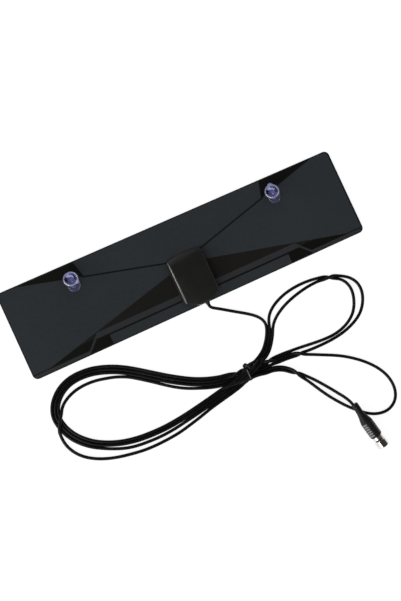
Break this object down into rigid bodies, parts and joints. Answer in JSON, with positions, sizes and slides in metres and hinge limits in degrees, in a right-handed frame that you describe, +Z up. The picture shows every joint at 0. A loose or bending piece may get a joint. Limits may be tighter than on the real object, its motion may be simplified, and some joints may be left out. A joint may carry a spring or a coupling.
{
  "type": "indoor tv antenna",
  "caption": "Flat indoor television antenna with suction cups, a clamped feed housing and a tied coaxial lead ending in a screw plug.",
  "frame": {"origin": "middle of the panel's outline, on the surface that the antenna lies on", "axes": "+X along the panel, +Y from the lead's side towards the edge with the suction cups, +Z up out of the panel's front face"},
  "size_m": [0.3412, 0.277, 0.0145],
  "materials": {
    "board": "solder mask",
    "chip": "ceramic",
    "clear_vinyl": "clear soft vinyl, slightly violet",
    "copper": "enamelled copper wire",
    "eyelet": "bright",
    "ferrite": "sintered",
    "film_back": "satin",
    "film_front": "satin, fine grain",
    "foil": "rolled foil",
    "housing": "satin moulded",
    "insulator": "smooth",
    "jacket": "satin vinyl",
    "moulding": "satin moulded vinyl",
    "pin": "bare copper",
    "plug_metal": "nickel plated",
    "print_dark": "gloss ink",
    "print_pale": "satin ink",
    "screw": "plated",
    "tie": "satin",
    "tinned": "tinned copper"
  },
  "bodies": {
    "antenna": {"back_film": "film_back", "front_film": "film_front", "printed_facets": "print_dark", "printed_bands": "print_pale", "foil_element_left": "foil", "foil_element_right": "foil", "feed_eyelet_left": "eyelet", "feed_eyelet_right": "eyelet", "housing_cover": "housing", "housing_back": "housing", "housing_screws": "screw", "circuit_board": "board", "board_chips": "chip", "ferrite_core": "ferrite", "balun_winding": "copper", "cable_tails": "tinned", "cable_end": "jacket", "strain_relief": "moulding", "suction_cup_left": "clear_vinyl", "suction_cup_right": "clear_vinyl", "cord_lead": "jacket", "cord_coil_left": "jacket", "cord_coil_right": "jacket", "cord_loop_end": "jacket", "cord_plug_run": "jacket", "cord_tie": "tie", "plug_grip": "moulding", "plug_body": "plug_metal", "plug_insulator": "insulator", "centre_pin": "pin"},
    "nut": {"coupling_nut": "plug_metal"}
  },
  "joints": [
    {"name": "nut_spin", "type": "hinge", "parent": "antenna", "child": "nut", "pos_m": [0.09634, -0.22973, 0.0061], "axis": [0.1977, -0.9803, 0], "continuous": true}
  ]
}
